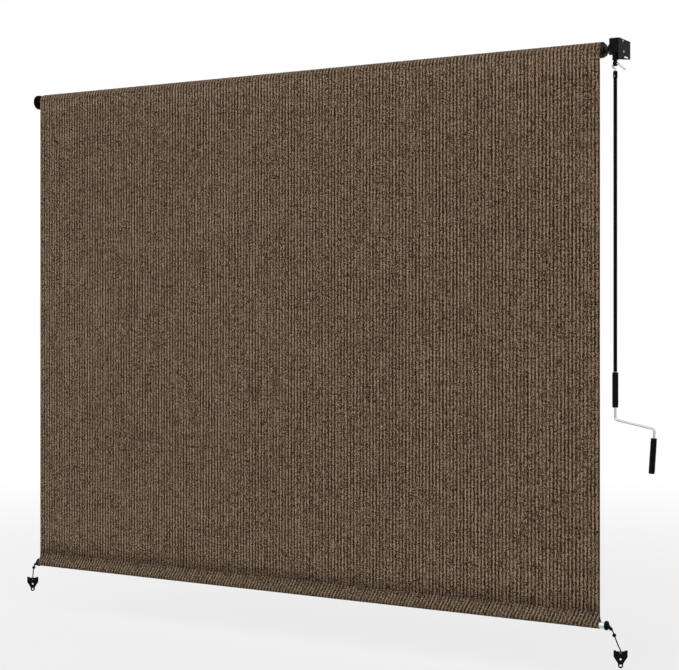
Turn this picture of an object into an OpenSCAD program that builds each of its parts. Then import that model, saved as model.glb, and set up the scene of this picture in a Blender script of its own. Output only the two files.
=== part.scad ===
// Outdoor roller shade with a crank gearbox, a hem rail and two elastic tie-downs.
// Millimetres. The origin is on the wall, at the centre of the four wall holes. +X runs
// along the roller to the gearbox, -Y faces away from the wall, +Z is up.

/* [Cloth] */
// Width of the cloth
cloth_w = 2440; // [1200:10:3000]
// Drop from the roller's axis to the rail's axis
drop = 1838; // [1600:2:2400]
// Thickness of the cloth between its ribs
cloth_t = 1; // [0.8:0.1:1.4]
// Spacing of the pairs of knitted ribs
rib_pitch = 44; // [36:1:60]
// Spacing of the two ribs in a pair
rib_gap = 12; // [8:1:16]
// Width of a rib
rib_w = 2.4; // [1.2:0.2:4]
// Height of a rib above the cloth
rib_h = 0.6; // [0.2:0.1:0.8]
// Height of the hem above the rail's axis
hem_h = 38; // [28:1:60]

/* [Roller] */
// Outside diameter of the roller tube
tube_d = 42; // [40:1:44]
// Wall of the roller tube
tube_wall = 1.4; // [1:0.1:2.4]
// Tube left bare beyond the cloth at each end
tube_bare = 4; // [2:1:6]
// Thickness of the turns that stay on the tube
turns_t = 4; // [3:0.5:5]
// Distance from the roller's axis to the wall
axis_to_wall = 62; // [58:1:75]
// Height of the wall holes' centre above the roller's axis
holes_up = 9; // [6:1:12]

/* [Brackets] */
// Thickness of the bracket sheet
sheet_t = 3; // [2:0.5:3]
// From the cloth's edge to the gear bracket's outer face
gear_side = 65; // [65:1:72]
// From the cloth's edge to the idler bracket's outer face
idle_side = 35; // [33:1:45]
// Height of the gear bracket's front edge
plate_front_h = 71; // [70:1:80]
// Height of the gear bracket's back edge
plate_back_h = 57; // [56:1:66]
// Corner radius at the top of the gear bracket's front edge
plate_corner_r = 8; // [4:1:12]
// Radius of the idler bracket's round front
idle_nose_r = 28; // [24:1:32]
// Width of the back flanges
flange_w = 26; // [24:1:36]
// Height of the back flanges
flange_h = 41; // [38:1:44]
// Diameter of the fixing holes
fix_hole_d = 5.5; // [4:0.5:6]
// Spacing of the wall holes in each flange
wall_hole_gap = 22; // [16:1:24]
// From a bracket's outer face to its wall holes
wall_hole_in = 18; // [14:1:18]
// Length of the slot in the side plate
slot_l = 34; // [16:1:34]
// Height of the slot in the side plate
slot_h = 5; // [4:0.5:5]

/* [Gearbox] */
// Width of the gearbox block along the roller
box_w = 30; // [29:1:32]
// Height of the block above the roller's axis
box_up = 33; // [32:1:36]
// Depth of the block below the roller's axis
box_down = 15; // [15:0.5:18]
// Depth of the block from front to back
box_depth = 50; // [48:1:54]
// Corner radius of the block
box_corner_r = 3; // [1:0.5:3]
// Radius of the round boss towards the tube
boss_r = 17.5; // [14:0.5:17.5]
// Length of the round boss
boss_l = 10; // [8:1:11]
// Radius of the neck around the worm shaft
neck_r = 9.5; // [8:0.5:10]
// Length of the neck below the block
neck_l = 22; // [16:1:22]
// Teeth on the worm wheel
wheel_teeth = 14; // [13:1:15]
// Pitch diameter of the worm
worm_d = 12; // [12:0.5:13]
// Length of the worm's thread
worm_l = 16; // [12:1:17]
// Width of the worm wheel
wheel_w = 8; // [6:1:9]
// Backlash in the worm drive
backlash = 0.3; // [0.25:0.05:0.4]
// Diameter of the worm shaft
worm_shaft_d = 8; // [7:0.5:8]

/* [Crank] */
// Outside radius of the crank eye
eye_r = 9.5; // [8.5:0.5:10]
// Radius of the hole in the crank eye
eye_hole_r = 5.2; // [5:0.1:5.6]
// Thickness of the crank eye
eye_t = 8; // [6:0.5:8]
// Diameter of the hook's rod
hook_d = 6.4; // [5:0.2:6.6]
// Outside diameter of the crank pole
pole_d = 12; // [11.5:0.5:12]
// Inside diameter of the crank pole
pole_bore_d = 8.2; // [8.2:0.1:9]
// From the roller's axis down to the foot of the pole
pole_drop = 1030; // [700:2:1100]
// Diameter of the ferrule on the pole
ferrule_d = 14.5; // [14:0.5:18]
// Diameter of the handle rod
rod_d = 8; // [7:0.5:8]
// Length of each grip
grip_l = 112; // [90:1:125]
// Diameter of each grip
grip_d = 19.5; // [18:0.5:24]
// From the upper grip's foot down to the handle's arm
arm_drop = 39; // [30:1:60]
// Sideways reach of the handle's arm
arm_reach = 134; // [100:1:180]
// Fall of the handle's arm from end to end
arm_fall = 25; // [5:1:40]
// Lean of the lower grip
grip_lean = 4; // [0:0.5:6]

/* [Rail] */
// Outside diameter of the rail tube
rail_d = 22; // [20:1:24]
// Wall of the rail tube
rail_wall = 1.2; // [0.8:0.1:2]
// Rail left bare on the gearbox side
rail_bare_gear = 20; // [4:1:20]
// Rail left bare on the idler side
rail_bare_idle = 4; // [2:1:10]
// Radius of an end cap's flange
cap_r = 15; // [13.5:0.5:17]
// Thickness of an end cap's flange
cap_t = 6; // [5:0.5:8]
// Diameter of the elastic cord
cord_d = 4; // [3:0.5:4]
// Diameter of the bead on the cord
bead_d = 12.6; // [10:0.2:16]
// Height of the tie-down cleat
cleat_h = 56; // [54:1:70]
// Width of the tie-down cleat
cleat_w = 44; // [36:1:54]
// Thickness of the tie-down cleat
cleat_t = 6; // [5:0.5:9]
// Turn of the cleat about the vertical
cleat_turn = 30; // [0:1:45]

/* [Fits] */
// Radial clearance between parts that stay together
seat_gap = 0.1; // [0.05:0.01:0.1]
// Radial clearance between parts that turn
run_gap = 0.06; // [0.03:0.01:0.1]
// Air between the cloth and what it passes
cloth_gap = 0.3; // [0.3:0.05:0.6]

/* [Hidden] */
$fn = 64;

// How far a cut runs past the face that it opens
cut = 1;

// Places along X
span = cloth_w + gear_side + idle_side;
plate_x1 = span / 2;
plate_x0 = -span / 2;
cloth_x0 = plate_x0 + idle_side;
cloth_x1 = plate_x1 - gear_side;
tube_x0 = cloth_x0 - tube_bare;
tube_x1 = cloth_x1 + tube_bare;
box_x1 = plate_x1 - sheet_t;
box_x0 = box_x1 - box_w;
boss_x0 = box_x0 - boss_l;
worm_x = (box_x0 + box_x1) / 2;

// The roller's axis and the cloth's plane
axis_y = -axis_to_wall;
axis_z = -holes_up;
tube_r = tube_d / 2;
tube_bore_r = tube_r - tube_wall;
roll_r = tube_r + turns_t;
cloth_y = axis_y - roll_r - cloth_gap - rib_h - cloth_t / 2;

// Worm drive: module 1, two starts, right hand
starts = 2;
wheel_r = wheel_teeth / 2;
worm_r = worm_d / 2;
worm_gap = wheel_r + worm_r;
worm_y = axis_y - worm_gap;
lead = starts * PI;
addendum = 0.9;
dedendum = 1.25;
pressure = 20;
tooth_half = PI / 4 - backlash / 2;
washer_t = 1.4;
worm_room = worm_l / 2 + washer_t + 0.3;
wheel_room = wheel_w / 2 + 0.5;
shaft_r = worm_shaft_d / 2;
shaft_top = worm_room + 9;
drive_r = 6;
drive_small_r = 4;
drive_step_x = worm_x - wheel_room - 1;
drive_end_x = worm_x + wheel_room + 5.5;
neck_z = -box_down - neck_l;

// Gearbox outline and screws, as places from the roller's axis in Y and Z
box_y0 = cloth_y - axis_y;
box_y1 = box_y0 + box_depth;
screw_inset = 4.2;
housing_screw_places = [
    [box_y0 + screw_inset, box_up - screw_inset], [box_y1 - screw_inset, box_up - screw_inset],
    [box_y1 - screw_inset, screw_inset - box_down], [box_y0 + 3.4, 3 - box_down]
];
gearbox_screw_places = [[1.2, 25], [7.2, -9]];
housing_screw_r = 1.4;
gearbox_screw_r = 2;

// Gear bracket, as places from the roller's axis in Y and Z
plate_y0 = cloth_y - axis_y - 2;
plate_top = box_up;
plate_foot = plate_top - plate_front_h;
plate_back_top = plate_top - 4;
plate_back_foot = plate_back_top - plate_back_h;
flange_foot = plate_back_top - flange_h;
slot_mid = [33, -24.5];
side_hole_places = [[1.2, -29.5], [43.2, 24.5]];

// Plugs in the tube
plug_l = 40;
plug_lip_r = tube_r - 0.5;
plug_lip_t = 3;
plug_core_r = 15;
plug_rib_w = 3;
plug_collar_r = 11;
square_w = 10;
square_l = 52;
idle_pin_r = 5;
idle_pin_in = 30;
idle_bush_r = 9;
idle_hub_r = 14;
idle_hub_t = 6;

// Crank, as places from the worm's axis in X and from the roller's axis in Z
hook_r = hook_d / 2;
eye_z = neck_z - 0.5 - eye_r;
hook_z = eye_z - eye_hole_r + hook_r + 0.3;
hook_side = eye_t / 2 + hook_r + 2.3;
ferrule_top = hook_z - 22.8;
ferrule_l = 22;
ferrule_foot = ferrule_top - ferrule_l;
pole_top = ferrule_top - 8.5;
pole_foot = -pole_drop;
pole_r = pole_d / 2;
ferrule_r = ferrule_d / 2;
pin_r = 1.5;
pin_z = ferrule_foot + 5;
hook_bend = 6;
hook_path = [
    [0, ferrule_top - 8], [0, ferrule_top + 4], [-hook_side, hook_z - 9], [-hook_side, hook_z],
    [hook_side - 0.5, hook_z], [35, hook_z - 20.8]
];
rod_r = rod_d / 2;
rod_bend = 9;
grip_r = grip_d / 2;
grip_top = pole_foot - 1;
grip_foot = grip_top - grip_l;
arm_z = grip_foot - arm_drop;
low_corner = [arm_reach, arm_z - arm_fall];
low_way = [-sin(grip_lean), -cos(grip_lean)];
low_grip_from = 29;
low_sink = 9;
low_rod_l = low_grip_from + grip_l - low_sink + 4;
clip_t = 1.2;
clip_r = 6.5;
plug_t = 3;
rod_path = [
    [0, pole_foot + 60], [0, arm_z], low_corner, low_corner + low_rod_l * low_way
];

// Rail and tie-downs, as places from the rail's axis at the rail's end
rail_r = rail_d / 2;
rail_z = axis_z - drop;
rail_x0 = cloth_x0 - rail_bare_idle;
rail_x1 = cloth_x1 + rail_bare_gear;
hem_in_r = rail_r + cloth_gap;
hem_out_r = hem_in_r + cloth_t;
cap_plug_l = 24;
nose_way = [20, -4, -11];
nose_from = cap_t - 2;
nose_root_r = rail_r - rail_wall - 1.8;
cord_r = cord_d / 2;
nose_tip_r = cord_r + 2.2;
cord_sides = 8;
cord_room = cord_r + 0.5;
bead_r = bead_d / 2;
bead_step = 3;
cleat_ring_r = 8;
cleat_hole_r = 3.5;
cleat_hole_drop = 28;
cleat_ring_hole_r = 4;
cleat_notch_w = 2 * cord_room;
cleat_notch_h = 8;
cleat_dip = 3;
cleat_shoulder = 20;
cleat_waist = 42;

// Each cord's route from inside its nose to its cleat, from the nose's tip, outwards and down
gear_route = [
    [-4, 0.8, 2.2], [0, 0, 0], [4, -1, -7], [8.5, -2, -16], [15.5, -3, -31], [22.5, -4, -46],
    [29.3, -4.6, -57], [31.5, -5, -62.5], [31.5, -5, -71]
];
idle_route = [
    [-4, 0.8, 2.2], [0, 0, 0], [1.5, -0.6, -5], [3, -1, -11], [5, -1.5, -22], [6, -2, -34],
    [7, -3, -48], [7, -3, -54], [7, -3, -59]
];

// A cylinder along +X that starts at x
module rod_x(x, length, r) {
    translate([x, 0, 0]) rotate([0, 90, 0]) cylinder(h = length, r = r);
}

// A tube along +X that starts at x
module tube_x(x, length, r_out, r_in) {
    difference() {
        rod_x(x, length, r_out);
        rod_x(x - cut, length + 2 * cut, r_in);
    }
}

// A flat outline in Y and Z, thickened along +X from x
module sheet_x(x, thickness) {
    translate([x, 0, 0]) rotate([90, 0, 90]) linear_extrude(thickness) children();
}

// A ring along +Z
module ring_z(height, r_out, r_in) {
    difference() {
        cylinder(h = height, r = r_out);
        translate([0, 0, -cut]) cylinder(h = height + 2 * cut, r = r_in);
    }
}

// A rectangle between two corners, with round corners
module round_rect(low, high, r) {
    size = high - low;
    translate([low.x + r, low.y]) square([size.x - 2 * r, size.y]);
    translate([low.x, low.y + r]) square([size.x, size.y - 2 * r]);
    for (x = [low.x + r, high.x - r], y = [low.y + r, high.y - r]) translate([x, y]) circle(r);
}

// Places children on the roller's axis, on the worm's axis and on the rail's axis
module on_axis() { translate([0, axis_y, axis_z]) children(); }

module on_worm() { translate([worm_x, worm_y, axis_z]) children(); }

module on_rail(x) { translate([x, cloth_y, rail_z]) children(); }

function unit(v) = v / norm(v);
function polar(r, a) = [r * cos(a), r * sin(a)];
function turn_at(p, i) = let (a = unit(p[i] - p[i - 1]), b = unit(p[i + 1] - p[i]))
    atan2(a.x * b.y - a.y * b.x, a * b);
function trim_at(p, i, bend) =
    (i == 0 || i == len(p) - 1) ? 0 : bend * tan(abs(turn_at(p, i)) / 2);

// A round rod bent along points in X and Z. Each bend swells a hair, as bent rod does,
// and the straights run a little way into it.
module bent_rod(p, r, bend) {
    swell = 0.06;
    bite = 0.3;
    last = len(p) - 1;
    rotate([90, 0, 0]) {
        for (i = [0 : last - 1]) {
            way = unit(p[i + 1] - p[i]);
            from = trim_at(p, i, bend) - (i > 0 ? bite : 0);
            to = norm(p[i + 1] - p[i]) - trim_at(p, i + 1, bend) + (i < last - 1 ? bite : 0);
            start = p[i] + way * from;
            translate([start.x, start.y, 0]) rotate([0, 0, atan2(way.y, way.x)])
                rotate([0, 90, 0]) cylinder(h = to - from, r = r);
        }
        for (i = [1 : last - 1]) {
            way = unit(p[i] - p[i - 1]);
            start = p[i] - way * trim_at(p, i, bend);
            hand = sign(turn_at(p, i));
            centre = start + bend * hand * [-way.y, way.x];
            from = atan2(start.y - centre.y, start.x - centre.x);
            translate([centre.x, centre.y, 0])
                rotate([0, 0, hand > 0 ? from : from + turn_at(p, i)])
                rotate_extrude(angle = abs(turn_at(p, i))) translate([bend, 0]) circle(r + swell);
        }
    }
}

// Brackets

// The two wall holes of a back flange, at x
module wall_holes(x) {
    for (z = [-wall_hole_gap / 2, wall_hole_gap / 2])
        translate([x, cut, z]) rotate([90, 0, 0]) cylinder(h = sheet_t + 2 * cut, d = fix_hole_d);
}

// A back flange against the wall, from x
module back_flange(x) {
    translate([x, -sheet_t, axis_z + flange_foot]) cube([flange_w, sheet_t, flange_h]);
}

module gear_bracket() color("#1b1c1d") difference() {
    union() {
        on_axis() sheet_x(plate_x1 - sheet_t, sheet_t) difference() {
            union() {
                polygon([
                    [plate_y0, plate_foot], [axis_to_wall, plate_back_foot],
                    [axis_to_wall, plate_back_top], [plate_y0 + plate_corner_r, plate_top],
                    [plate_y0 + plate_corner_r, plate_top - plate_corner_r],
                    [plate_y0, plate_top - plate_corner_r]]);
                translate([plate_y0 + plate_corner_r, plate_top - plate_corner_r])
                    circle(plate_corner_r);
            }
            for (p = gearbox_screw_places) translate(p) circle(gearbox_screw_r + 0.3);
            for (p = side_hole_places) translate(p) circle(d = fix_hole_d - 0.5);
            translate(slot_mid) round_rect(
                [-slot_l / 2, -slot_h / 2], [slot_l / 2, slot_h / 2], slot_h / 2 - 0.05);
        }
        back_flange(plate_x1 - flange_w);
    }
    wall_holes(plate_x1 - wall_hole_in);
}

module idler_bracket() color("#1b1c1d") difference() {
    union() {
        on_axis() sheet_x(plate_x0, sheet_t) {
            circle(idle_nose_r);
            translate([0, -idle_nose_r]) square([axis_to_wall, 2 * idle_nose_r]);
        }
        back_flange(plate_x0);
    }
    wall_holes(plate_x0 + wall_hole_in);
    on_axis() rod_x(plate_x0 - cut, sheet_t + 2 * cut, idle_bush_r + seat_gap);
}

// Gearbox

// The outside of the whole gearbox
module box_outside() {
    on_axis() {
        sheet_x(box_x0, box_w) round_rect([box_y0, -box_down], [box_y1, box_up], box_corner_r);
        rod_x(boss_x0, boss_l + cut, boss_r);
    }
    on_worm() translate([0, 0, neck_z]) cylinder(h = neck_l + cut, r = neck_r);
}

// The room inside for the worm, the wheel, their shafts and the screws
module box_inside() {
    on_axis() {
        rod_x(worm_x - wheel_room, 2 * wheel_room, wheel_r + addendum + 1.2);
        rod_x(boss_x0 - cut, drive_step_x + 0.2 - boss_x0 + cut, drive_r + run_gap);
        rod_x(drive_step_x, drive_end_x + 0.3 - drive_step_x, drive_small_r + run_gap);
        for (p = housing_screw_places) translate([0, p.x, p.y])
            rod_x(box_x0 - cut, box_w - 3 + cut, housing_screw_r + seat_gap);
        for (p = gearbox_screw_places) translate([0, p.x, p.y])
            rod_x(box_x1 - 9, 9 + cut, gearbox_screw_r + seat_gap);
    }
    on_worm() {
        translate([0, 0, -worm_room]) cylinder(h = 2 * worm_room, r = worm_r + addendum + 1.2);
        translate([0, 0, neck_z - cut])
            cylinder(h = shaft_top + 0.3 - neck_z + cut, r = shaft_r + run_gap);
    }
}

// The part of the gearbox between two places along X
module box_half(x0, x1) {
    room = 200;
    difference() {
        intersection() {
            box_outside();
            translate([x0, axis_y - room / 2, axis_z - room / 2]) cube([x1 - x0, room, room]);
        }
        box_inside();
    }
}

module gear_housing() color("#17181a") box_half(boss_x0 - cut, worm_x);

module gear_cover() color("#1d1e20") box_half(worm_x, box_x1 + cut);

// A pan-head screw along -X, with the underside of its slotted head at x = 0
module pan_screw(r, length) {
    head_r = 1.9 * r;
    head_h = 1.2 * r;
    difference() {
        union() {
            rod_x(-length, length + head_h / 2, r);
            rod_x(0, head_h, head_r);
        }
        translate([head_h / 2, -head_r - cut, -r / 4]) cube([head_h, 2 * (head_r + cut), r / 2]);
    }
}

module housing_screws() color("#8d9092") on_axis()
    for (p = housing_screw_places) translate([box_x0, p.x, p.y]) mirror([1, 0, 0])
        pan_screw(housing_screw_r, box_w - 4);

module gearbox_screws() color("#d0d3d5") on_axis()
    for (p = gearbox_screw_places) translate([plate_x1, p.x, p.y])
        pan_screw(gearbox_screw_r, sheet_t + 8);

module idler_bush() color("#101112") on_axis() difference() {
    union() {
        rod_x(plate_x0, sheet_t + cut, idle_bush_r);
        rod_x(plate_x0 + sheet_t, idle_hub_t, idle_hub_r);
    }
    rod_x(plate_x0 + 1, sheet_t + idle_hub_t, idle_pin_r + run_gap);
}

// Worm and wheel

module worm() color("#9a9da0") on_worm() difference() {
    root_r = worm_r - dedendum;
    levels = [root_r, worm_r - 0.6, worm_r, worm_r + 0.45, worm_r + addendum];
    steps = len(levels);
    half = [for (r = levels) (tooth_half - (r - worm_r) * tan(pressure)) / lead * 360];
    outline = [for (s = [0 : starts - 1]) let (mid = 360 * s / starts) each concat(
        [for (k = [0 : 2 * steps - 1]) let (j = k < steps ? k : 2 * steps - 1 - k)
            polar(levels[j], mid + (k < steps ? -1 : 1) * half[j])],
        [polar(root_r, mid + 180 / starts)])];
    turn = 360 * worm_l / lead;
    rotate([0, 0, -turn / 2]) translate([0, 0, -worm_l / 2])
        linear_extrude(worm_l, twist = -turn, slices = ceil(turn / 15), segments = 0, $fn = 8)
        polygon(outline);
    translate([0, 0, -worm_l]) cylinder(h = 2 * worm_l, r = shaft_r + seat_gap / 2);
}

function involute(a) = tan(a) * 180 / PI - a;
function tooth_angle(r) = let (base = wheel_r * cos(pressure))
    tooth_half / wheel_r * 180 / PI + involute(pressure)
    - (r > base ? involute(acos(base / r)) : 0);

module worm_wheel() color("#c9b27a") translate([worm_x, axis_y, axis_z]) rotate([90, 0, 90])
    difference() {
        flank = [wheel_r - dedendum, wheel_r - 0.4, wheel_r, wheel_r + 0.45, wheel_r + addendum];
        steps = len(flank);
        outline = [for (i = [0 : wheel_teeth - 1]) let (mid = 180 + 360 * i / wheel_teeth)
            each [for (k = [0 : 2 * steps - 1])
                let (r = flank[k < steps ? k : 2 * steps - 1 - k])
                polar(r, mid + (k < steps ? -1 : 1) * tooth_angle(r))]];
        twist = wheel_w * lead / (2 * PI * worm_r) / wheel_r * 180 / PI;
        rotate([0, 0, -twist / 2]) translate([0, 0, -wheel_w / 2])
            linear_extrude(wheel_w, twist = -twist, slices = 4, segments = 0, $fn = 8)
            polygon(outline);
        translate([0, 0, -wheel_w]) cylinder(h = 2 * wheel_w, r = drive_small_r + seat_gap / 2);
    }

// The worm's shaft, with the crank eye forged on its foot
module eye_shaft() color("#141516") on_worm() difference() {
    union() {
        translate([0, 0, eye_z + eye_hole_r + 1])
            cylinder(h = shaft_top - eye_z - eye_hole_r - 1, r = shaft_r);
        translate([0, 0, eye_z]) rod_x(-eye_t / 2, eye_t, eye_r);
    }
    translate([0, 0, eye_z]) rod_x(-eye_t, 2 * eye_t, eye_hole_r);
}

module thrust_washers() color("#b08d57") on_worm() {
    for (z = [worm_l / 2, -worm_l / 2 - washer_t]) translate([0, 0, z])
        ring_z(washer_t, worm_r, shaft_r + seat_gap / 2);
}

// Roller

module roller_tube() color("#c8cacb") on_axis()
    tube_x(tube_x0, tube_x1 - tube_x0, tube_r, tube_bore_r);

// The turns that stay on the tube, with their edges showing at both ends
module fabric_roll() color("#5a4a3b") on_axis() {
    groove = 0.6;
    turns = 3;
    difference() {
        tube_x(cloth_x0, cloth_w, roll_r, tube_r + seat_gap / 2);
        for (i = [1 : turns], x = [cloth_x0 - cut, cloth_x1 - groove]) {
            r = tube_r + turns_t * i / (turns + 1);
            tube_x(x, groove + cut, r + 0.2, r - 0.2);
        }
    }
}

// The ribbed body of a plug that fits inside the tube, along +X from x
module plug_body(x) {
    rib = 2 * (sqrt(pow(tube_bore_r - seat_gap, 2) - pow(plug_rib_w / 2, 2)) - 0.05);
    sheet_x(x, plug_l) {
        circle(plug_core_r);
        for (a = [0 : 30 : 150]) rotate(a) square([rib, plug_rib_w], center = true);
    }
}

module drive_plug() color("#e8e8e4") on_axis() difference() {
    union() {
        plug_body(tube_x1 - plug_l);
        rod_x(tube_x1, plug_lip_t, plug_lip_r);
        rod_x(tube_x1, boss_x0 - 1 - tube_x1, plug_collar_r);
    }
    translate([tube_x1 - plug_l - cut, -square_w / 2 - seat_gap, -square_w / 2 - seat_gap])
        cube([plug_l + boss_x0 - tube_x1 + 2 * cut,
            square_w + 2 * seat_gap, square_w + 2 * seat_gap]);
}

module drive_shaft() color("#9fa3a6") on_axis() {
    translate([boss_x0 - square_l, -square_w / 2, -square_w / 2])
        cube([square_l - 0.5, square_w, square_w]);
    rod_x(boss_x0 - 0.8, drive_step_x - boss_x0 + 0.8, drive_r);
    rod_x(drive_step_x - cut, drive_end_x - drive_step_x + cut, drive_small_r);
}

module idler_plug() color("#141516") on_axis() difference() {
    hub_end = plate_x0 + sheet_t + idle_hub_t + 1;
    union() {
        plug_body(tube_x0);
        rod_x(tube_x0 - plug_lip_t, plug_lip_t, plug_lip_r);
        rod_x(hub_end, tube_x0 - hub_end, plug_collar_r);
    }
    rod_x(hub_end - cut, tube_x0 - hub_end + idle_pin_in + cut, idle_pin_r + seat_gap / 2);
}

module idler_pin() color("#9fa3a6") on_axis()
    rod_x(plate_x0 + 1.4, tube_x0 + idle_pin_in - 0.4 - plate_x0 - 1.4, idle_pin_r);

// Crank

module hook_rod() color("#d5d8da") on_worm() bent_rod(hook_path, hook_r, hook_bend);

// The hole of the cross pin through the ferrule and the pole
module pin_hole() {
    translate([0, ferrule_r + cut, pin_z]) rotate([90, 0, 0])
        cylinder(h = 2 * (ferrule_r + cut), r = pin_r + seat_gap / 2);
}

module ferrule() color("#141516") on_worm() difference() {
    shoulder = 3;
    union() {
        translate([0, 0, ferrule_foot]) cylinder(h = ferrule_l - shoulder, r = ferrule_r);
        translate([0, 0, ferrule_top - shoulder])
            cylinder(h = shoulder, r1 = ferrule_r, r2 = ferrule_r - 2);
    }
    translate([0, 0, ferrule_top - 8.2]) cylinder(h = 8.2 + cut, r = hook_r + seat_gap / 2);
    translate([0, 0, ferrule_foot - cut])
        cylinder(h = pole_top - ferrule_foot + cut, r = pole_r + seat_gap / 2);
    pin_hole();
}

module ferrule_pin() color("#9fa3a6") on_worm() translate([0, ferrule_r + 0.3, pin_z])
    rotate([90, 0, 0]) cylinder(h = 2 * ferrule_r + 0.6, r = pin_r);

module crank_pole() color("#18191b") on_worm() difference() {
    translate([0, 0, pole_foot]) ring_z(pole_top - 0.2 - pole_foot, pole_r, pole_bore_d / 2);
    pin_hole();
}

module handle_rod() color("#d5d8da") on_worm() bent_rod(rod_path, rod_r, rod_bend);

// Places children along the handle's lower leg, with +Z back up the rod
module on_lower_leg(along) {
    place = low_corner + along * low_way;
    on_worm() translate([place.x, 0, place.y]) rotate([0, grip_lean, 0]) children();
}

// Spring clips on the rod, under the upper grip and inside the lower grip's foot
module grip_clips() color("#b5b9bb") {
    on_worm() translate([0, 0, grip_foot - 0.2 - clip_t])
        ring_z(clip_t, clip_r, rod_r + seat_gap / 2);
    on_lower_leg(low_grip_from + grip_l - low_sink + clip_t + 0.3)
        ring_z(clip_t, clip_r, rod_r + seat_gap / 2);
}

// A hand grip with shallow rings near its ends, its foot at z = 0
module grip() {
    edge = 1.6;
    ring_w = 2.4;
    ring_depth = 0.6;
    difference() {
        union() {
            cylinder(h = edge, r1 = grip_r - edge, r2 = grip_r);
            translate([0, 0, edge]) cylinder(h = grip_l - 2 * edge, r = grip_r);
            translate([0, 0, grip_l - edge]) cylinder(h = edge, r1 = grip_r, r2 = grip_r - edge);
        }
        translate([0, 0, -cut]) cylinder(h = grip_l + 2 * cut, r = rod_r + run_gap);
        for (z = [3 * edge, grip_l - 3 * edge - ring_w]) translate([0, 0, z])
            ring_z(ring_w, grip_r + cut, grip_r - ring_depth);
    }
}

module upper_grip() color("#131415") on_worm() translate([0, 0, grip_foot]) grip();

module lower_grip() color("#131415") on_lower_leg(low_grip_from + grip_l) difference() {
    grip();
    translate([0, 0, -cut]) cylinder(h = low_sink + cut, r = clip_r + 0.6);
}

module grip_plug() color("#131415") on_lower_leg(low_grip_from + grip_l)
    cylinder(h = plug_t, r = clip_r + 0.6 - seat_gap / 2);

// Cloth and rail

// The cloth from the roller's front down to the hem, with its pairs of ribs on both faces
module shade_cloth() color("#5a4a3b") {
    foot_z = rail_z + hem_h + cloth_gap;
    pairs = floor((cloth_w - rib_pitch) / rib_pitch);
    first = (cloth_w - pairs * rib_pitch) / 2;
    ribs = [for (i = [0 : pairs], side = [-1, 1]) first + i * rib_pitch + side * rib_gap / 2];
    low = cloth_t / 2;
    high = low + rib_h;
    front = [for (x = ribs) each [
        [x - rib_w / 2, -low], [x - rib_w / 4, -high], [x + rib_w / 4, -high],
        [x + rib_w / 2, -low]]];
    back = [for (i = [len(front) - 1 : -1 : 0]) [front[i].x, -front[i].y]];
    translate([cloth_x0, cloth_y, foot_z]) linear_extrude(axis_z - foot_z) polygon(concat(
        [[0, low], [0, -low]], front, [[cloth_w, -low], [cloth_w, low]], back));
}

module rail_tube() color("#d9dbdb") on_rail(0)
    tube_x(rail_x0, rail_x1 - rail_x0, rail_r, rail_r - rail_wall);

// The hem's sleeve round the rail, closing to its doubled top
module hem_pocket() color("#4d4133") on_rail(0) sheet_x(cloth_x0, cloth_w) difference() {
    wide = 0.78 * hem_out_r;
    from = 0.59 * hem_out_r;
    union() {
        circle(hem_out_r);
        polygon([
            [-wide, from], [wide, from], [cloth_t, hem_h - 12], [cloth_t, hem_h],
            [-cloth_t, hem_h], [-cloth_t, hem_h - 12]]);
    }
    circle(hem_in_r);
}

// Turns children so that +Z runs along a direction
module point_along(way) {
    rotate([0, acos(way.z / norm(way)), atan2(way.y, way.x)]) children();
}

// An end cap, from the rail's end along +X: plug, flange and a drooping nose with the cord's hole
module end_cap() color("#121314") difference() {
    union() {
        rod_x(-cap_plug_l, cap_plug_l + cut, rail_r - rail_wall - seat_gap);
        rod_x(0, cap_t, cap_r);
        translate([nose_from, 0, 0]) {
            sphere(nose_root_r + 1);
            point_along(nose_way)
                cylinder(h = norm(nose_way), r1 = nose_root_r, r2 = nose_tip_r);
        }
    }
    translate([nose_from, 0, 0]) point_along(nose_way)
        translate([0, 0, norm(nose_way) - 8]) cylinder(h = 8 + cut, r = cord_room);
}

// Places children at the gear-side or idler-side end of the rail
module at_gear_end() { on_rail(rail_x1) children(); }

module at_idle_end() { on_rail(rail_x0) mirror([1, 0, 0]) children(); }

// A route moved from the nose's tip to the rail's end
function from_tip(route) = [for (p = route) p + [nose_from, 0, 0] + nose_way];
function heading(route, i) = unit(
    route[min(i + 1, len(route) - 1)] - route[max(i - 1, 0)]);
function ring_at(route, i) = let (
    t = heading(route, i), u = unit(cross(t, [0, 1, 0])), v = cross(t, u))
    [for (k = [0 : cord_sides - 1]) let (a = 360 * k / cord_sides)
        route[i] + cord_r * (cos(a) * u + sin(a) * v)];

// The elastic cord, swept along its route
module cord(route) color("#0f1011") {
    last = (len(route) - 1) * cord_sides;
    sides = [for (i = [0 : len(route) - 2], k = [0 : cord_sides - 1]) let (
        a = i * cord_sides + k, b = i * cord_sides + (k + 1) % cord_sides)
        each [[a, b, b + cord_sides], [a, b + cord_sides, a + cord_sides]]];
    polyhedron([for (i = [0 : len(route) - 1]) each ring_at(route, i)], concat(
        [[for (k = [0 : cord_sides - 1]) cord_sides - 1 - k]], sides,
        [[for (k = [0 : cord_sides - 1]) last + k]]));
}

// The bead that stops the cord, at one of the route's points
module bead(route) color("#141516") translate(route[bead_step])
    point_along(heading(route, bead_step)) rotate_extrude() difference() {
        circle(bead_r);
        translate([-bead_d, -bead_d]) square([bead_d + cord_room, 2 * bead_d]);
    }

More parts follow.
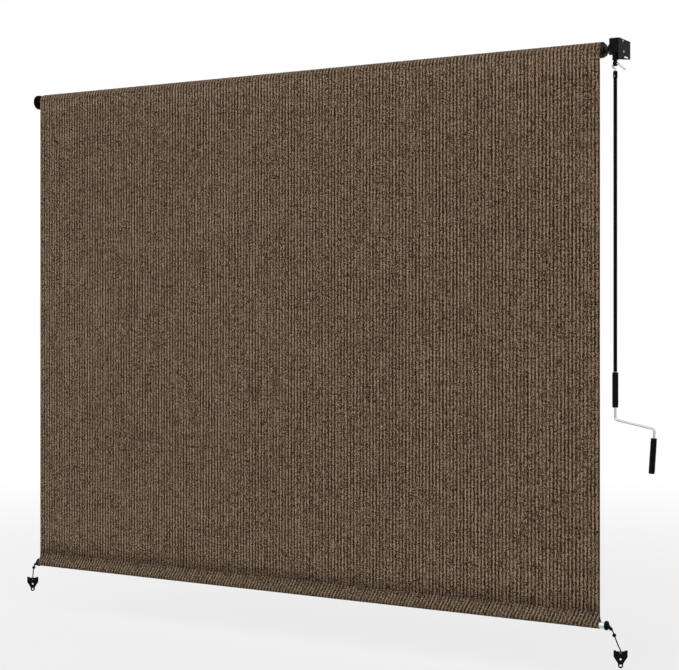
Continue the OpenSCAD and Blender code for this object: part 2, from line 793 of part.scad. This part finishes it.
// The flat cleat on the cord's end: a broad body with two horns, a notch for the cord and two holes
module cleat(route, turn) color("#151617") {
    end = route[len(route) - 1];
    half = cleat_w / 2;
    ring_mid = cleat_ring_r - cleat_h;
    translate(end + [0, 0, cleat_notch_h - cord_r / 2 + cleat_dip]) rotate([0, 0, turn])
        translate([0, cleat_t / 2, 0]) rotate([90, 0, 0]) linear_extrude(cleat_t) difference() {
            union() {
                polygon([
                    [-half, 0], [-half, -cleat_shoulder], [-cleat_ring_r, -cleat_waist],
                    [-cleat_ring_r, ring_mid], [cleat_ring_r, ring_mid],
                    [cleat_ring_r, -cleat_waist], [half, -cleat_shoulder], [half, 0],
                    [half - 7, 0], [half - 10, -cleat_dip], [10 - half, -cleat_dip],
                    [7 - half, 0]]);
                translate([0, ring_mid]) circle(cleat_ring_r);
            }
            translate([-cleat_notch_w / 2, -cleat_dip - cleat_notch_h])
                square([cleat_notch_w, cleat_dip + cleat_notch_h + cut]);
            translate([0, -cleat_hole_drop]) circle(cleat_hole_r);
            translate([0, ring_mid]) circle(cleat_ring_hole_r);
        }
}

module gear_end_cap() at_gear_end() end_cap();

module idle_end_cap() at_idle_end() end_cap();

module gear_cord() at_gear_end() cord(from_tip(gear_route));

module idle_cord() at_idle_end() cord(from_tip(idle_route));

module gear_bead() at_gear_end() bead(from_tip(gear_route));

module idle_bead() at_idle_end() bead(from_tip(idle_route));

module gear_cleat() at_gear_end() cleat(from_tip(gear_route), cleat_turn);

module idle_cleat() at_idle_end() cleat(from_tip(idle_route), -cleat_turn);

gear_bracket();
idler_bracket();
gear_housing();
gear_cover();
housing_screws();
gearbox_screws();
idler_bush();
shade_cloth();
worm();
eye_shaft();
thrust_washers();
roller_tube();
fabric_roll();
drive_plug();
drive_shaft();
worm_wheel();
idler_plug();
idler_pin();
rail_tube();
hem_pocket();
gear_end_cap();
idle_end_cap();
gear_cord();
idle_cord();
gear_bead();
idle_bead();
gear_cleat();
idle_cleat();
hook_rod();
ferrule();
ferrule_pin();
crank_pole();
handle_rod();
grip_clips();
upper_grip();
lower_grip();
grip_plug();
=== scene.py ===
"""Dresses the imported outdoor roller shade: cloth, roll, hem, cords, materials, light and camera.

Metres, in the CAD frame: +X along the roller to the gearbox, +Y into the wall, +Z up.
"""
import math

import bpy
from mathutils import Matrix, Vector


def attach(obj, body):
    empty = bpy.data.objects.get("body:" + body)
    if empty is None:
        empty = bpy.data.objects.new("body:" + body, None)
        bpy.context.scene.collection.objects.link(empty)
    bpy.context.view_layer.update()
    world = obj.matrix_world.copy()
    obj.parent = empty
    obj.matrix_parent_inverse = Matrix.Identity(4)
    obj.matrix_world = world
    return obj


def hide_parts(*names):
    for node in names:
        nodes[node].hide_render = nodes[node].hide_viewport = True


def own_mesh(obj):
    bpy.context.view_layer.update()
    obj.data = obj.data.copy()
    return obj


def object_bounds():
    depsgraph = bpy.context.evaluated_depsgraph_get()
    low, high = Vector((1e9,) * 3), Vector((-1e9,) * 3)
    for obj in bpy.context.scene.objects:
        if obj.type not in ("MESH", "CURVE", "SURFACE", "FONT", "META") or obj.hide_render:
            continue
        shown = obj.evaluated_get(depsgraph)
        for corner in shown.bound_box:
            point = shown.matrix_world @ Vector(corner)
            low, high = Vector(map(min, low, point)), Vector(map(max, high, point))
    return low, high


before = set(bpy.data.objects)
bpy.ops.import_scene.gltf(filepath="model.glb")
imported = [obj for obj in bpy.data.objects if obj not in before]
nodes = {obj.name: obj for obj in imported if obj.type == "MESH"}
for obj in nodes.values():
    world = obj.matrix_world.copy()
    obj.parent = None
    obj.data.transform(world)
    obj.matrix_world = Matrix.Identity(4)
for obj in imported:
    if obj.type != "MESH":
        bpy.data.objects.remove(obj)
cad_low, cad_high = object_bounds()

MM = 0.001
WHITE = (1.0, 1.0, 1.0)

# The roller's axis, the cloth and the rail, as in the CAD
AXIS_Y = -62 * MM
AXIS_Z = -9 * MM
CLOTH_X0 = -1235 * MM
CLOTH_X1 = 1205 * MM
CLOTH_Y = -88.4 * MM
CLOTH_FOOT = -1808.7 * MM
RAIL_Z = -1847 * MM
RAIL_X0 = -1239 * MM
RAIL_X1 = 1225 * MM

# The knit: its ribs, the place of one deep gutter, the cloth without ribs, and the hem's slant
WALES = 182
WALE = (CLOTH_X1 - CLOTH_X0) / WALES
DEEP_GUTTER = CLOTH_X1 - 17 * MM
RIB_H = 0.9 * MM
BACK_RIB = 0.3
CLOTH_HALF = 0.5 * MM
EDGE = 4 * MM
HEM_LEAN = -0.35

# The cords, each with its route in mm from the tip of its end cap's nose
CORD_D = 4 * MM
CORD_POINTS = 34
NOSE_TIP = (24 * MM, -4 * MM, -11 * MM)
GEAR_ROUTE = [
    (-4, 0.8, 2.2), (0, 0, 0), (4, -1, -7), (8.5, -2, -16), (15.5, -3, -31), (22.5, -4, -46),
    (29.3, -4.6, -57), (31.5, -5, -62.5), (31.5, -5, -71),
]
IDLE_ROUTE = [
    (-4, 0.8, 2.2), (0, 0, 0), (1.5, -0.6, -5), (3, -1, -11), (5, -1.5, -22), (6, -2, -34),
    (7, -3, -48), (7, -3, -54), (7, -3, -59),
]

# Each lamp's name and strength, and its azimuth, elevation and breadth in degrees
LAMPS = (
    ("key", 1.10, -12, 38, 85),
    ("fill", 0.45, 70, 20, 90),
    ("rear", 0.6, 200, 30, 90),
)


# Camera, fitted to the photo's cloth corners

def make_camera():
    data = bpy.data.cameras.new("camera")
    data.sensor_width = 36
    data.lens = 91.1
    data.shift_x = 0.0025
    data.shift_y = -0.0353
    data.clip_end = 100
    camera = bpy.data.objects.new("camera", data)
    camera.location = (3.579, -5.105, -0.845)
    camera.rotation_euler = (math.radians(90), 0, math.radians(34))
    bpy.context.scene.collection.objects.link(camera)
    bpy.context.scene.camera = camera


# Node helpers

class Nodes:
    """A material's node tree, with short ways to add and join nodes."""

    def __init__(self, name):
        self.material = bpy.data.materials.new(name)
        self.material.use_nodes = True
        self.tree = self.material.node_tree
        self.shader = self.tree.nodes["Principled BSDF"]
        self.coord = self.add("ShaderNodeTexCoord").outputs["Object"]

    def add(self, kind, **settings):
        node = self.tree.nodes.new(kind)
        for key, value in settings.items():
            setattr(node, key, value)
        return node

    def put(self, value, socket):
        if isinstance(value, bpy.types.NodeSocket):
            self.tree.links.new(value, socket)
        else:
            socket.default_value = value

    def math(self, operation, *values):
        node = self.add("ShaderNodeMath", operation=operation)
        for value, socket in zip(values, node.inputs):
            self.put(value, socket)
        return node.outputs[0]

    def split(self, vector):
        node = self.add("ShaderNodeSeparateXYZ")
        self.put(vector, node.inputs[0])
        return node.outputs

    def scaled(self, scale):
        node = self.add("ShaderNodeVectorMath", operation="MULTIPLY")
        self.put(self.coord, node.inputs[0])
        node.inputs[1].default_value = scale
        return node.outputs[0]

    def noise(self, scale, detail=2.0, rough=0.5, stretch=(1, 1, 1)):
        node = self.add("ShaderNodeTexNoise")
        self.put(self.scaled(stretch), node.inputs["Vector"])
        node.inputs["Scale"].default_value = scale
        node.inputs["Detail"].default_value = detail
        node.inputs["Roughness"].default_value = rough
        return node.outputs["Fac"]

    def swing(self, value, reach):
        """A noise value moved to lie about 0 and scaled."""
        return self.math("MULTIPLY", self.math("SUBTRACT", value, 0.5), reach)

    def pick(self, number, low, high):
        """A fixed random value between low and high for each whole number."""
        node = self.add("ShaderNodeTexWhiteNoise", noise_dimensions="1D")
        self.put(number, node.inputs["W"])
        return self.math("MULTIPLY_ADD", node.outputs["Value"], high - low, low)

    def steps(self, value, places):
        node = self.add("ShaderNodeMapRange", clamp=True, interpolation_type="SMOOTHSTEP")
        self.put(value, node.inputs["Value"])
        for key, place in zip(("From Min", "From Max", "To Min", "To Max"), places):
            node.inputs[key].default_value = place
        return node.outputs[0]

    def mix(self, share, low, high):
        node = self.add("ShaderNodeMix", data_type="RGBA")
        self.put(share, node.inputs[0])
        for colour, socket in ((low, node.inputs[6]), (high, node.inputs[7])):
            self.put(colour if isinstance(colour, bpy.types.NodeSocket) else (*colour, 1), socket)
        return node.outputs[2]

    def bump(self, height, distance, strength=1.0):
        node = self.add("ShaderNodeBump")
        node.inputs["Strength"].default_value = strength
        node.inputs["Distance"].default_value = distance
        self.put(height, node.inputs["Height"])
        self.put(node.outputs[0], self.shader.inputs["Normal"])

    def finish(self, colour, rough, metal=0.0, **sockets):
        self.put(colour if isinstance(colour, bpy.types.NodeSocket) else (*colour, 1),
                 self.shader.inputs["Base Color"])
        self.put(rough, self.shader.inputs["Roughness"])
        self.shader.inputs["Metallic"].default_value = metal
        for key, value in sockets.items():
            self.shader.inputs[key.replace("_", " ")].default_value = value
        return self.material


# Materials

def knit_material(name, dark, mid, light, lean):
    """Ribbed knit: painted highlights on the ribs' crests and painted shade in the gutters between
    them, every third gutter deeper, and a speckled yarn.

    lean is the slant of the ribs against the vertical.
    """
    n = Nodes(name)
    axes = n.split(n.coord)
    across = n.math("ADD", axes[0], n.math("MULTIPLY", axes[2], lean))
    turn = n.math("DIVIDE", n.math("SUBTRACT", across, DEEP_GUTTER), WALE)
    wave = n.math("COSINE", n.math("MULTIPLY", turn, 2 * math.pi))
    deep = n.math("MULTIPLY_ADD", n.math("COSINE", n.math("MULTIPLY", turn, 2 * math.pi / 3)),
                  0.5, 0.5)
    # Painted shade: the gutters between the ribs are darkened, more in every third one.
    gutter_shade = n.math("MULTIPLY", n.steps(wave, (0.0, 0.95, 0, 1)),
                    n.math("MULTIPLY_ADD", deep, 0.10, 0.50))
    gutter_shade = n.math("MULTIPLY", gutter_shade, n.pick(n.math("ROUND", turn), 0.75, 1.25))
    # Painted highlight: the ribs' crests are brightened.
    crest_highlight = n.math("MULTIPLY", n.steps(wave, (-0.95, -0.1, 1, 0)),
                   n.math("MULTIPLY_ADD", deep, 0.12, 0.30))
    crest_highlight = n.math("MULTIPLY", crest_highlight, n.pick(n.math("FLOOR", turn), 0.75, 1.25))
    # The ribs' painted light and shade, also used for their bump.
    lines = n.math("MULTIPLY", n.math("SUBTRACT", crest_highlight, gutter_shade),
                   n.steps(n.noise(30, 1, 0.5, (1, 1, 0.15)), (0.3, 0.7, 0.7, 1.25)))
    streak = n.swing(n.noise(170, 1, 0.5, (1, 1, 0.05)), 0.7)
    grain = n.swing(n.noise(430, 0, 0.5, (1, 1, 0.9)), 3.6)
    slow = n.swing(n.noise(1.7, 2), 0.12)
    tone = n.math("ADD", n.math("ADD", lines, streak), n.math("ADD", grain, slow))
    below = n.mix(n.steps(tone, (-0.5, 0.0, 0, 1)), dark, mid)
    colour = n.mix(n.steps(tone, (0.0, 0.6, 0, 1)), below, light)
    n.bump(n.math("ADD", lines, n.math("MULTIPLY", grain, 0.5)), 0.0006, 0.5)
    return n.finish(colour, 0.86, Sheen_Weight=0.03, Sheen_Roughness=0.5, Specular_IOR_Level=0.1)


def coat_material(name, colour, rough, gloss):
    """Powder coat: an even satin skin with a fine orange peel and paler rubbed places."""
    n = Nodes(name)
    peel = n.noise(900, 3)
    rub = n.steps(n.noise(35, 4, 0.6), (0.55, 0.8, 0, 1))
    pale = tuple(2.2 * c + 0.002 for c in colour)
    n.bump(peel, 0.0002, 0.35)
    return n.finish(n.mix(rub, colour, pale),
                    n.steps(n.noise(120, 3), (0.3, 0.7, rough - 0.07, rough + 0.09)),
                    Specular_IOR_Level=gloss)


def plastic_material(name, colour, rough, gloss):
    """Moulded plastic: a fine spark-eroded grain and faint flow marks."""
    n = Nodes(name)
    flow = n.steps(n.noise(24, 3, 0.5, (1, 1, 3)), (0.3, 0.7, 0, 1))
    pale = tuple(1.35 * c + 0.002 for c in colour)
    n.bump(n.noise(1600, 2), 0.00015, 0.4)
    return n.finish(n.mix(flow, colour, pale),
                    n.steps(n.noise(200, 2), (0.3, 0.7, rough - 0.06, rough + 0.08)),
                    Specular_IOR_Level=gloss)


def metal_material(name, colour, rough, stretch):
    """Bare or plated metal with drawing lines along its length and a few dull spots."""
    n = Nodes(name)
    lines = n.noise(700, 3, 0.6, stretch)
    spots = n.steps(n.noise(60, 4), (0.52, 0.75, 0, 1))
    dull = tuple(0.78 * c for c in colour)
    n.bump(lines, 0.00008, 0.25)
    return n.finish(n.mix(spots, colour, dull),
                    n.steps(lines, (0.3, 0.7, rough * 0.8, rough * 1.25)), 1.0)


def braid_material(name):
    """Braided cover of an elastic cord."""
    n = Nodes(name)
    axes = n.split(n.coord)
    slant = [n.math("SINE", n.math("MULTIPLY", n.math("ADD", axes[2], n.math(
        "MULTIPLY", axes[0], side)), 2 * math.pi / (2.2 * MM))) for side in (0.8, -0.8)]
    braid = n.math("MULTIPLY", *slant)
    n.bump(braid, 0.0003, 0.6)
    return n.finish(n.mix(n.steps(braid, (-1, 1, 0, 1)), (0.002, 0.002, 0.0022),
                          (0.007, 0.007, 0.0075)), 0.72, Specular_IOR_Level=0.05)


def make_materials():
    cloth = ((0.0100, 0.0028, 0.0005), (0.076, 0.0445, 0.0208), (0.325, 0.234, 0.162))
    hem = ((0.0085, 0.0030, 0.0006), (0.064, 0.041, 0.0195), (0.275, 0.203, 0.136))
    return {
        "cloth": knit_material("ribbed_knit", *cloth, 0.0),
        "roll": knit_material("ribbed_knit_roll", *cloth, 0.0),
        "hem": knit_material("ribbed_knit_hem", *hem, HEM_LEAN),
        "thread": plastic_material("seam_thread", (0.030, 0.022, 0.014), 0.6, 0.2),
        "coat": coat_material("black_powder_coat", (0.0020, 0.0020, 0.0023), 0.42, 0.04),
        "plastic": plastic_material("black_moulded_plastic", (0.0020, 0.0020, 0.0022), 0.48, 0.05),
        "grip": plastic_material("black_grip", (0.0018, 0.0019, 0.0019), 0.55, 0.05),
        "plug": plastic_material("brown_moulded_plastic", (0.010, 0.0060, 0.0035), 0.5, 0.15),
        "chrome": metal_material("bright_zinc", (0.44, 0.455, 0.47), 0.10, (1, 1, 0.05)),
        "steel": metal_material("turned_steel", (0.46, 0.47, 0.48), 0.32, (0.05, 1, 1)),
        "tube": coat_material("brown_tube_coat", (0.016, 0.0100, 0.0060), 0.45, 0.15),
        "rail": metal_material("satin_aluminium", (0.56, 0.58, 0.58), 0.32, (0.02, 1, 1)),
        "bronze": metal_material("machined_bronze", (0.55, 0.40, 0.18), 0.30, (1, 1, 0.1)),
        "cord": braid_material("braided_cover"),
    }


NODE_MATERIALS = {
    "coat": ("gear_bracket", "idler_bracket", "eye_shaft", "crank_pole"),
    "plastic": ("gear_housing", "gear_cover", "idler_bush", "idler_plug", "gear_end_cap",
                "idle_end_cap", "gear_bead", "idle_bead", "gear_cleat", "idle_cleat", "ferrule"),
    "grip": ("upper_grip", "lower_grip", "grip_plug"),
    "plug": ("drive_plug",),
    "chrome": ("hook_rod", "handle_rod", "gearbox_screws"),
    "steel": ("housing_screws", "worm", "drive_shaft", "idler_pin", "ferrule_pin", "grip_clips"),
    "tube": ("roller_tube",),
    "rail": ("rail_tube",),
    "bronze": ("worm_wheel", "thrust_washers"),
}


def dress_nodes(materials):
    for key, names in NODE_MATERIALS.items():
        for name in names:
            slots = nodes[name].data.materials
            slots.clear()
            slots.append(materials[key])


# Meshes

def add_mesh(name, points, faces, material, smooth=True):
    mesh = bpy.data.meshes.new(name)
    mesh.from_pydata(points, [], faces)
    mesh.materials.append(material)
    mesh.update()
    if smooth:
        mesh.polygons.foreach_set("use_smooth", [True] * len(mesh.polygons))
    piece = bpy.data.objects.new(name, mesh)
    bpy.context.scene.collection.objects.link(piece)
    return piece


def rib_height(across):
    """Height of the knit at a place across it: rounded ribs, fuller beside a deep gutter."""
    turn = (across - DEEP_GUTTER) / WALE
    full = 0.75 + 0.25 * math.cos(2 * math.pi * turn / 3)
    return RIB_H * full * math.sin(math.pi * (turn % 1)) ** 0.8


def rib_places():
    """Places across the cloth where its section changes, each with its height above the cloth."""
    places = []
    for i in range(-WALES, 3):
        for share in (0, 0.1, 0.25, 0.5, 0.75, 0.9):
            x = DEEP_GUTTER + (i + share) * WALE
            places.append((x, rib_height(x)))
    inside = [p for p in places if CLOTH_X0 + EDGE < p[0] < CLOTH_X1 - EDGE]
    selvedge = [(0, 0.15 * MM), (2.6 * MM, 0.15 * MM), (3.4 * MM, 0)]
    ends = [(CLOTH_X0 + x, h) for x, h in selvedge] + [(CLOTH_X1 - x, h) for x, h in selvedge]
    return sorted(set(inside + ends))


def loft(rings):
    """Points and faces of a skin through rings of equally many points."""
    points, faces = [], []
    size = len(rings[0])
    for ring in rings:
        points += ring
    for i in range(len(rings) - 1):
        for k in range(size):
            a, b = i * size + k, i * size + (k + 1) % size
            faces.append((a, b, b + size, a + size))
    return points, faces


def cloth_rings(rows):
    """A ring round the cloth's section for each row: its front from left to right, then its back.

    A row is the middle of the cloth's thickness and the way out of its front, both in Y and Z.
    """
    places = rib_places()
    rings = []
    for middle, out in rows:
        front = [(x, *(middle + out * (CLOTH_HALF + h))) for x, h in places]
        back = [(x, *(middle - out * (CLOTH_HALF + BACK_RIB * h))) for x, h in reversed(places)]
        rings.append(front + back)
    return rings


def capped(rings):
    """A skin through the cloth's rings, closed at its first and last ring."""
    points, faces = loft(rings)
    size, half = len(rings[0]), len(rings[0]) // 2
    last = (len(rings) - 1) * size
    for k in range(half - 1):
        faces.append((size - 1 - k, size - 2 - k, k + 1, k))
        faces.append((last + k, last + k + 1, last + size - 2 - k, last + size - 1 - k))
    return points, faces


def make_cloth(materials):
    """The hanging cloth, from the roller's axis to the hem."""
    count = 30
    rows = []
    for i in range(count + 1):
        z = AXIS_Z + (CLOTH_FOOT - AXIS_Z) * i / count
        rows.append((Vector((CLOTH_Y, z)), Vector((-1, 0))))
    points, faces = capped(cloth_rings(rows))
    cloth = add_mesh("shade_panel", points, faces, materials["cloth"])
    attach(cloth, "head")
    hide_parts("shade_cloth")
    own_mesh(cloth)
    return cloth


def make_lap(materials):
    """The last turn of the cloth over the roll, from the panel's top round to the back."""
    count, sweep, closing = 26, math.radians(205), 1.6
    centre = Vector((AXIS_Y, AXIS_Z))
    start, end = AXIS_Y - CLOTH_Y, 25.9 * MM
    rows = []
    for i in range(count + 1):
        angle = sweep * i / count
        out = Vector((-math.cos(angle), math.sin(angle)))
        radius = start + (end - start) * min(1, closing * i / count)
        rows.append((centre + out * radius, out))
    points, faces = capped(cloth_rings(list(reversed(rows))))
    lap = add_mesh("cloth_lap", points, faces, materials["roll"])
    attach(lap, "head")
    return lap


def make_roll(materials):
    """The turns on the tube: a ribbed drum whose ends show the edges of its turns as rings."""
    around, turns = 72, 3
    inner, outer = 21.1 * MM, 24.2 * MM
    inset, bevel, groove = 0.5 * MM, 0.3 * MM, 0.5 * MM
    centre = Vector((AXIS_Y, AXIS_Z))
    left, right = CLOTH_X0 + inset, CLOTH_X1 - inset
    section = [(left, outer - bevel), (left + 1 * MM, outer)]
    section += [(x, outer + h) for x, h in rib_places() if CLOTH_X0 + EDGE < x < CLOTH_X1 - EDGE]
    section += [(right - 1 * MM, outer), (right, outer - bevel)]
    steps = 4 * turns
    rim = []
    for k in range(1, steps):
        radius = outer - bevel + (inner - outer + bevel) * k / steps
        rim.append((groove if k % 4 in (1, 2) else 0, radius))
    section += [(right - depth, radius) for depth, radius in rim]
    section += [(right, inner), (left, inner)]
    section += [(left + depth, radius) for depth, radius in reversed(rim)]
    rings = []
    for i in range(around):
        angle = 2 * math.pi * i / around
        out = Vector((-math.cos(angle), math.sin(angle)))
        rings.append([(x, *(centre + out * r)) for x, r in section])
    points, faces = loft(rings + [rings[0]])
    total = around * len(section)
    faces = [tuple(p % total for p in f) for f in faces]
    roll = add_mesh("cloth_roll", points[:total], faces, materials["roll"])
    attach(roll, "roller")
    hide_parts("fabric_roll")


def hem_section():
    """The sleeve's outline in Y and Z from the rail's axis, from the top back round to the top
    front, with the way out at each point."""
    outer, top, half = 12.3 * MM, 38 * MM, 1.0 * MM
    lip = 26 * MM
    touch = math.radians(37)
    out = []
    for i in range(4):
        out.append((Vector((half, top + (lip - top) * i / 3)), Vector((1, 0))))
    flare = [Vector((half, lip)), Vector((outer * math.cos(touch), outer * math.sin(touch)))]
    way = (flare[1] - flare[0]).normalized()
    for i in range(1, 4):
        out.append((flare[0].lerp(flare[1], i / 4), Vector((-way.y, way.x))))
    straight = len(out)
    count = 26
    for i in range(count + 1):
        angle = touch - (math.pi + 2 * touch) * i / count
        ray = Vector((math.cos(angle), math.sin(angle)))
        out.append((ray * outer, ray))
    mirror = [(Vector((-p.x, p.y)), Vector((-w.x, w.y))) for p, w in out[:straight]]
    return out + mirror[::-1]


def make_hem(materials):
    """The hem's sleeve round the rail, its ribs slanting where the cloth is folded and sewn."""
    inner, count, rib_share = 11.35 * MM, 1100, 0.5
    section = hem_section()
    rings = []
    for i in range(count + 1):
        x = CLOTH_X0 + (CLOTH_X1 - CLOTH_X0) * i / count
        ring = []
        for place, out in section:
            p = place + out * rib_share * rib_height(x + (place.y + RAIL_Z) * HEM_LEAN)
            ring.append((x, CLOTH_Y + p.x, RAIL_Z + p.y))
        rings.append(ring)
    points, faces = loft(rings)
    size = len(section)
    bore = []
    for x in (CLOTH_X0, CLOTH_X1):
        bore.append(len(points))
        for place, _ in section:
            ray = place.normalized() * inner
            points.append((x, CLOTH_Y + ray.x, RAIL_Z + ray.y))
    last = (len(rings) - 1) * size
    for k in range(size):
        j = (k + 1) % size
        faces.append((j, k, bore[0] + k, bore[0] + j))
        faces.append((last + k, last + j, bore[1] + j, bore[1] + k))
        faces.append((bore[0] + j, bore[0] + k, bore[1] + k, bore[1] + j))
    hem = add_mesh("hem_sleeve", points, faces, materials["hem"])
    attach(hem, "rail")
    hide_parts("hem_pocket")
    return hem


def make_seam(materials):
    """Two rows of lockstitch along the hem's top, on both faces."""
    pitch, long, wide, high = 6 * MM, 4.2 * MM, 0.5 * MM, 0.35 * MM
    first, spare = 5 * MM, 8 * MM
    skin, clear, sunk = 1.02 * MM, 0.05 * MM, 0.3 * MM
    rows = (31.5 * MM, 34.5 * MM)
    points, faces = [], []
    count = int((CLOTH_X1 - CLOTH_X0 - spare) / pitch)
    for row in rows:
        for face in (-1, 1):
            for i in range(count):
                x = CLOTH_X0 + first + i * pitch
                z, y = RAIL_Z + row, CLOTH_Y + face * skin
                at = len(points)
                for dx, w, h in ((0, 0.4, 0.0), (0.25, 1, 1), (0.75, 1, 1), (1, 0.4, 0.0)):
                    for side in (-1, 1):
                        points.append((x + dx * long, y + face * (clear + h * high),
                                       z + side * w * wide))
                    points.append((x + dx * long, y - face * sunk, z))
                for k in range(3):
                    a, b = at + 3 * k, at + 3 * k + 3
                    for p, q in ((0, 1), (1, 2), (2, 0)):
                        quad = (a + p, a + q, b + q, b + p)
                        faces.append(quad if face < 0 else quad[::-1])
                for end in ((at, at + 2, at + 1), (at + 9, at + 10, at + 11)):
                    faces.append(end if face < 0 else end[::-1])
    seam = add_mesh("hem_stitches", points, faces, materials["thread"])
    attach(seam, "rail")
    return seam


# Cords

def smooth_route(route, count):
    """Evenly spaced points on a Catmull-Rom curve through a route."""
    p = [Vector(q) for q in route]
    p = [2 * p[0] - p[1]] + p + [2 * p[-1] - p[-2]]
    fine, steps = [], 24
    for i in range(1, len(p) - 2):
        a, b, c, d = p[i - 1:i + 3]
        for k in range(steps):
            t = k / steps
            fine.append(0.5 * (2 * b + (c - a) * t + (2 * a - 5 * b + 4 * c - d) * t * t
                               + (3 * b - a - 3 * c + d) * t ** 3))
    fine.append(p[-2])
    far = [0.0]
    for a, b in zip(fine, fine[1:]):
        far.append(far[-1] + (b - a).length)
    out, j = [], 0
    for i in range(count):
        want = far[-1] * i / (count - 1)
        while j < len(fine) - 2 and far[j + 1] < want:
            j += 1
        share = (want - far[j]) / max(far[j + 1] - far[j], 1e-12)
        out.append(fine[j].lerp(fine[j + 1], min(share, 1)))
    return out


def make_cord(name, route, rail_end, side, node, materials):
    """An elastic cord from its end cap's nose to its cleat, as a curve."""
    tip = Vector((rail_end, CLOTH_Y, RAIL_Z)) + Vector((side * NOSE_TIP[0], *NOSE_TIP[1:]))
    places = [tip + Vector((side * x, y, z)) * MM for x, y, z in route]
    line = smooth_route(places, CORD_POINTS)
    curve = bpy.data.curves.new(name, "CURVE")
    curve.dimensions = "3D"
    curve.bevel_depth = CORD_D / 2
    curve.bevel_resolution = 4
    curve.use_fill_caps = True
    spline = curve.splines.new("POLY")
    spline.points.add(len(line) - 1)
    for point, place in zip(spline.points, line):
        point.co = (*place, 1)
    curve.materials.append(materials["cord"])
    piece = bpy.data.objects.new(name, curve)
    bpy.context.scene.collection.objects.link(piece)
    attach(piece, "rail")
    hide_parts(node)


# Light and floor

def shown_rays(tree):
    """1 for the rays that show the background: the camera's, reflected and transmitted ones."""
    path = tree.nodes.new("ShaderNodeLightPath")
    shown = path.outputs["Is Camera Ray"]
    for ray in ("Is Glossy Ray", "Is Transmission Ray"):
        either = tree.nodes.new("ShaderNodeMath")
        either.operation = "MAXIMUM"
        tree.links.new(shown, either.inputs[0])
        tree.links.new(path.outputs[ray], either.inputs[1])
        shown = either.outputs[0]
    return shown


def make_world():
    """A studio that is light before the shade and above it, and dimmer to the sides and behind.

    The camera and reflections see it as an even white.
    """
    world = bpy.data.worlds.new("studio")
    bpy.context.scene.world = world
    world.use_nodes = True
    tree = world.node_tree
    tree.nodes.clear()
    seen = tree.nodes.new("ShaderNodeBackground")
    seen.inputs[0].default_value = (*WHITE, 1)
    seen.inputs[1].default_value = 1.0
    coord = tree.nodes.new("ShaderNodeTexCoord")
    facing = tree.nodes.new("ShaderNodeVectorMath")
    facing.operation = "DOT_PRODUCT"
    facing.inputs[1].default_value = Vector((-0.25, -0.75, 0.6)).normalized()
    tree.links.new(coord.outputs["Generated"], facing.inputs[0])
    level = tree.nodes.new("ShaderNodeMapRange")
    level.interpolation_type = "SMOOTHSTEP"
    for key, value in (("From Min", 0.15), ("From Max", 0.9), ("To Min", 0.06), ("To Max", 1.0)):
        level.inputs[key].default_value = value
    tree.links.new(facing.outputs["Value"], level.inputs["Value"])
    light = tree.nodes.new("ShaderNodeBackground")
    light.inputs[0].default_value = (*WHITE, 1)
    tree.links.new(level.outputs[0], light.inputs[1])
    mix = tree.nodes.new("ShaderNodeMixShader")
    tree.links.new(shown_rays(tree), mix.inputs[0])
    tree.links.new(light.outputs[0], mix.inputs[1])
    tree.links.new(seen.outputs[0], mix.inputs[2])
    out = tree.nodes.new("ShaderNodeOutputWorld")
    tree.links.new(mix.outputs[0], out.inputs[0])


def make_sun(name, strength, azimuth, elevation, breadth):
    """A broad lamp: azimuth 0 is straight before the shade, and 90 on the gearbox's side."""
    data = bpy.data.lights.new(name, "SUN")
    data.energy = strength
    data.angle = math.radians(breadth)
    lamp = bpy.data.objects.new(name, data)
    a, e = math.radians(azimuth), math.radians(elevation)
    back = Vector((math.sin(a) * math.cos(e), -math.cos(a) * math.cos(e), math.sin(e)))
    lamp.rotation_euler = back.to_track_quat("Z", "Y").to_euler()
    bpy.context.scene.collection.objects.link(lamp)


def make_floor():
    """A pale floor that is seen to fade to the background's white far from the object."""
    reach, z = 40.0, cad_low.z - 0.06
    n = Nodes("pale_floor")
    n.finish((0.50, 0.50, 0.50), 0.9, Specular_IOR_Level=0.1)
    glow = n.add("ShaderNodeEmission")
    glow.inputs[0].default_value = (*WHITE, 1)
    length = n.add("ShaderNodeVectorMath", operation="LENGTH")
    n.put(n.coord, length.inputs[0])
    share = n.math("MULTIPLY", n.steps(length.outputs["Value"], (2.5, 7.0, 0.78, 1)),
                   shown_rays(n.tree))
    mix = n.add("ShaderNodeMixShader")
    n.put(share, mix.inputs[0])
    n.put(n.shader.outputs[0], mix.inputs[1])
    n.put(glow.outputs[0], mix.inputs[2])
    n.put(mix.outputs[0], n.tree.nodes["Material Output"].inputs[0])
    corners = [(-reach, -reach, z), (reach, -reach, z), (reach, reach, z), (-reach, reach, z)]
    add_mesh("floor", corners, [(0, 1, 2, 3)], n.material, False)


make_camera()
materials = make_materials()
make_cord("gear_tie_cord", GEAR_ROUTE, RAIL_X1, 1, "gear_cord",
          materials)
make_cord("idle_tie_cord", IDLE_ROUTE, RAIL_X0, -1, "idle_cord",
          materials)
dress_nodes(materials)
cloth = make_cloth(materials)
lap = make_lap(materials)
make_roll(materials)
hem = make_hem(materials)
seam = make_seam(materials)
make_floor()
make_world()
for lamp in LAMPS:
    make_sun(*lamp)
bpy.context.scene.view_settings.view_transform = "Standard"
